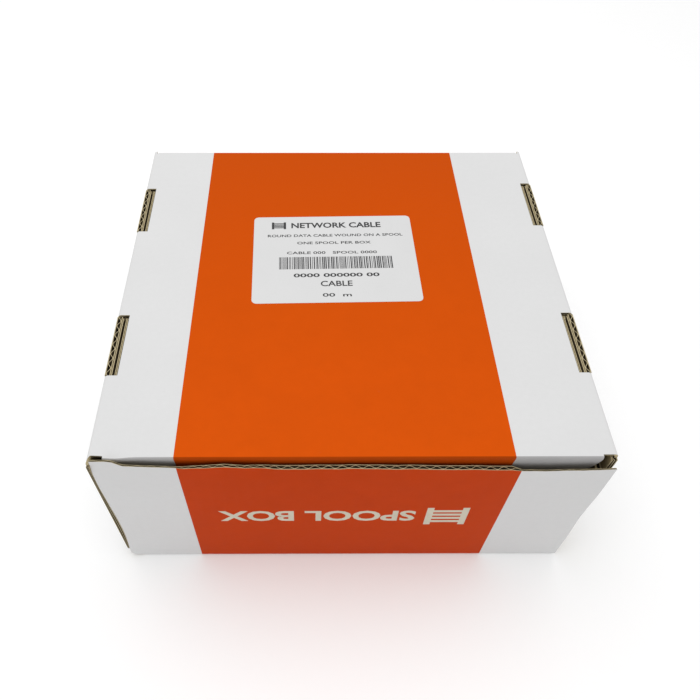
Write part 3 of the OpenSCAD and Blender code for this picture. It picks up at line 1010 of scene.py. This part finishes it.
class BuildLabel(bpy.types.Operator):
    """Label: a sticker with round corners, and its plain print"""
    bl_idname = "spool_box.label"
    bl_label = "Label"

    def execute(self, context):
        low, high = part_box("shipping_label")
        centre = (low + high) / 2
        turn = np.radians(1.1)
        width, height, radius = 100 * MM, 75 * MM, 3 * MM
        base = low[2]
        thick = 0.13 * MM

        def place(points):
            x = points[:, 0] * np.cos(turn) - points[:, 1] * np.sin(turn) + centre[0]
            y = points[:, 0] * np.sin(turn) + points[:, 1] * np.cos(turn) + centre[1]
            return np.stack([x, y, points[:, 2]], 1)

        a = np.linspace(0, np.pi / 2, 9) + np.arange(4)[:, None] * np.pi / 2
        middles = np.array([(1, 1), (-1, 1), (-1, -1), (1, -1)]) * (
            width / 2 - radius, height / 2 - radius)
        outline = middles[:, None] + radius * np.stack([np.cos(a), np.sin(a)], 2)
        outline = outline.reshape(-1, 2)
        n = len(outline)
        flat = np.column_stack([outline, np.full(n, base - 0.02 * MM)])
        points = place(np.concatenate([flat, flat + [0, 0, thick + 0.02 * MM]]))
        ring = np.arange(n)
        after = np.roll(ring, -1)
        shape = Shape()
        shape.add(points, [(np.stack([ring, after, after + n, ring + n], 1), 0),
                           (np.array([ring + n]), 0), (np.array([ring[::-1]]), 0)])
        settle(shape, "label_sheet", ("label_paper",), "lid", "label_paper", "shipping_label")

        shape = Shape()
        ink_base = base + thick
        ink_thick = 0.04 * MM
        # text, middle along X and Y, width and height in millimetres, and boldness
        rows = (
            ("NETWORK CABLE", 2.2, 29.2, 57, 5.0, 0.026),
            ("ROUND DATA CABLE WOUND ON A SPOOL", 1.3, 19.7, 85, 2.3, 0.014),
            ("ONE SPOOL PER BOX", 0.2, 12.9, 46, 2.3, 0.014),
            ("CABLE 000   SPOOL 0000", -1.5, 4.1, 55.5, 2.3, 0.014),
            ("0000 000000 00", 0.4, -15.3, 51.5, 3.1, 0.024),
            ("CABLE", 0.1, -22.3, 18.9, 4.4, 0.016),
            ("00  m", 0, -31.5, 17, 2.8, 0.014),
        )
        for text, x, y, wide, tall, bold in rows:
            points, faces = lettering(text, wide * MM, tall * MM, bold)
            points = points + [x * MM, y * MM, ink_base]
            thick_print(shape, points, faces, place, ink_thick)
        icon_centre = np.array([-34.2 * MM, 29.2 * MM, ink_base])
        add_icon(shape, place, 9.0 * MM, 6.4 * MM, icon_centre, ink_thick)
        widths = np.random.default_rng(12).choice([0.36, 0.36, 0.72], 141) * MM
        edges = np.concatenate([[0], np.cumsum(widths)])
        edges = edges * (69 * MM / edges[-1]) - 34 * MM
        left, right = edges[:-1:2], edges[1::2]
        flat = np.ones_like(left)
        bar_low = np.stack([left, -10 * MM * flat, ink_base * flat], 1)
        bar_high = np.stack([right, 0.4 * MM * flat, (ink_base + ink_thick) * flat], 1)
        points, faces = slabs(bar_low, bar_high)
        shape.add(place(points), [(faces, 0)])
        settle(shape, "label_print", ("label_ink",), "lid", "label_paper", smooth=10)
        return {"FINISHED"}


class BuildFrontMark(bpy.types.Operator):
    """Front mark: a plain word and a spool icon in cream, upside down"""
    bl_idname = "spool_box.front_mark"
    bl_label = "Front Mark"

    def execute(self, context):
        face = WALL_LOW[1] + 0.1 * MM
        thick = 0.05 * MM

        def place(points):
            return np.stack([-points[:, 0], face + 0.04 * MM - points[:, 2], -points[:, 1]], 1)

        shape = Shape()
        points, faces = lettering("SPOOL BOX", 108 * MM, 12.8 * MM, 0.03)
        thick_print(shape, points + [16.8 * MM, -56 * MM, 0], faces, place, thick)
        icon_centre = np.array([-54.5, -55.2, 0]) * MM
        add_icon(shape, place, 23 * MM, 21 * MM, icon_centre, thick)
        settle(shape, "front_mark", ("cream_ink",), "case", "printed_board", smooth=10)
        return {"FINISHED"}


class BuildWinding(bpy.types.Operator):
    """Winding: a drum of turns, its outer layer and the turns at both ends laid as cable"""
    bl_idname = "spool_box.winding"
    bl_label = "Winding"

    def execute(self, context):
        low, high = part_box("cable_winding")
        wide = context.scene.spool_box_cable.diameter
        outer = float(high[0])
        inner = float(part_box("spool_barrel")[1][0])
        first, last = low[2] + wide / 2, high[2] - wide / 2
        drum = outer - 0.8 * wide

        def ring(r, a, z):
            """The circle (r cos a, r sin a) round the spool's axis, at the height z."""
            return np.stack([r * np.cos(a), AXIS_Y + r * np.sin(a), z + 0 * a], 1)

        shape = Shape()
        corners = [[inner, first], [drum, first], [drum, last], [inner, last]]
        shape.add(*lathe(np.array(corners), AXIS_Y))
        turns = int((high[2] - low[2]) / wide)
        whole = turns - 0.4
        a = np.linspace(0, 2 * np.pi * whole, 64 * turns)
        climb = first + (last - first) / whole * a / (2 * np.pi)
        shape.add(*tube(ring(outer - wide / 2, a, climb), wide / 2, 12))
        a = np.linspace(0, 2 * np.pi, 72, endpoint=False)
        for z in (first, last):
            for k in range(int((outer - inner) / wide) - 1):
                shape.add(*tube(ring(inner + wide * (k + 0.5), a, z), wide / 2, 10, closed=True))
        settle(shape, "wound_cable", ("cable_jacket",), "spool", "cable_jacket", "cable_winding",
               smooth=60)
        return {"FINISHED"}


class BuildSpool(bpy.types.Operator):
    """Spool, axle and outlet: their shapes are the frame's own, each with its finish"""
    bl_idname = "spool_box.spool"
    bl_label = "Spool"

    def execute(self, context):
        finishes = {
            "flange_lower": "black_plastic", "flange_upper": "black_plastic",
            "axle_foot": "black_plastic", "axle_cap": "black_plastic",
            "bush_lower": "nylon", "bush_upper": "nylon", "glide_ring": "nylon",
            "spool_barrel": "tube", "axle_tube": "tube", "end_tape": "tape",
            "outlet_grommet": "grommet_plastic", "outlet_lock_ring": "grommet_plastic",
        }
        for node, finish in finishes.items():
            mesh = frame["nodes"][node].data
            mesh.materials.clear()
            mesh.materials.append(finish_named(finish))
        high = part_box("flange_upper")[1]
        rim = float(high[0]) - 5.5 * MM
        hub = float(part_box("spool_barrel")[1][0]) + 0.5 * MM
        low_z, high_z = high[2] - 1.8 * MM, high[2] - 0.5 * MM
        half_width = 1.2 * MM
        out = np.linspace(hub, rim, 6)
        across = np.linspace(-1, 1, 9)
        shape = Shape()
        for a in np.radians(30 + 60 * np.arange(6)):

            def rib(level):
                def points(U, V):
                    side = V * half_width
                    z = low_z + (high_z - low_z) * level * np.sqrt(np.clip(1 - V ** 2, 0, 1))
                    x = U * np.cos(a) - side * np.sin(a)
                    y = AXIS_Y + U * np.sin(a) + side * np.cos(a)
                    return np.stack([x, y, z], -1)
                return points

            shape.add(*closed_sheet(out, across, everywhere, rib(0), rib(1), (0, 0, 0)))
        settle(shape, "flange_ribs", ("black_plastic",), "spool", "spool_plastic")
        return {"FINISHED"}


class BuildStage(bpy.types.Operator):
    """Stage: the camera, the pale ground and the soft light"""
    bl_idname = "spool_box.stage"
    bl_label = "Stage"

    def execute(self, context):
        scene = context.scene
        camera = bpy.data.objects.new("camera", bpy.data.cameras.new("camera"))
        scene.collection.objects.link(camera)
        ahead = np.cross(CAMERA_RIGHT, CAMERA_DOWN)
        matrix = np.eye(4)
        matrix[:3, :3] = np.stack([CAMERA_RIGHT, -CAMERA_DOWN, -ahead], 1)
        matrix[:3, 3] = CAMERA_PLACE
        camera.matrix_world = Matrix(matrix.tolist())
        camera.data.lens = 34.877
        camera.data.sensor_width = 36
        camera.data.shift_x = 0.0614
        camera.data.clip_start = 0.01
        scene.camera = camera

        shape = Shape()
        span = np.linspace(-3, 3, 7)

        def flat(level):
            return lambda U, V: np.stack([U, V, np.full_like(U, level)], -1)

        shape.add(*closed_sheet(span, span, everywhere, flat(-0.02), flat(-0.0002), (0, 0, 0)))
        ground = shape.object("ground", [finish_named("pale_ground")])

        settings = scene.spool_box_light
        world = bpy.data.worlds.new("studio")
        scene.world = world
        world.use_nodes = True
        sky = world.node_tree.nodes["Background"]
        sky.inputs["Color"].default_value = (1, 1, 1, 1)
        sky.inputs["Strength"].default_value = settings.sky
        lamp = bpy.data.lights.new("lamp_above", "AREA")
        lamp.size = 1.6
        lamp.energy = settings.lamp
        thing = bpy.data.objects.new("lamp_above", lamp)
        thing.location = (-0.2, 0.15, 1.5)
        scene.collection.objects.link(thing)
        scene.view_settings.view_transform = "Standard"
        return {"FINISHED"}


BUILDERS = (
    BuildStage, BuildFrontWall, BuildLid, BuildCreases, BuildTuckFlap, BuildSideFlaps,
    BuildInnerBoards, BuildLabel, BuildFrontMark, BuildWinding, BuildSpool,
)


class SpoolBoxPanel(bpy.types.Panel):
    """Lists what the add-on builds"""
    bl_idname = "VIEW3D_PT_spool_box"
    bl_label = "Cable Spool Box"
    bl_space_type = "VIEW_3D"
    bl_region_type = "UI"
    bl_category = "Spool Box"

    def draw(self, context):
        for builder in BUILDERS:
            self.layout.operator(builder.bl_idname)
        for name, group in SETTINGS.items():
            box = self.layout.box()
            for field in group.__annotations__:
                box.prop(getattr(context.scene, name), field)


def register():
    for thing in (*SETTINGS.values(), *BUILDERS, SpoolBoxPanel):
        bpy.utils.register_class(thing)
    for name, group in SETTINGS.items():
        setattr(bpy.types.Scene, name, bpy.props.PointerProperty(type=group))


def unregister():
    for name in SETTINGS:
        delattr(bpy.types.Scene, name)
    for thing in reversed((*SETTINGS.values(), *BUILDERS, SpoolBoxPanel)):
        bpy.utils.unregister_class(thing)


def main():
    register()
    for builder in BUILDERS:
        group, name = builder.bl_idname.split(".")
        getattr(getattr(bpy.ops, group), name)()


if __name__ == "__main__":
    main()
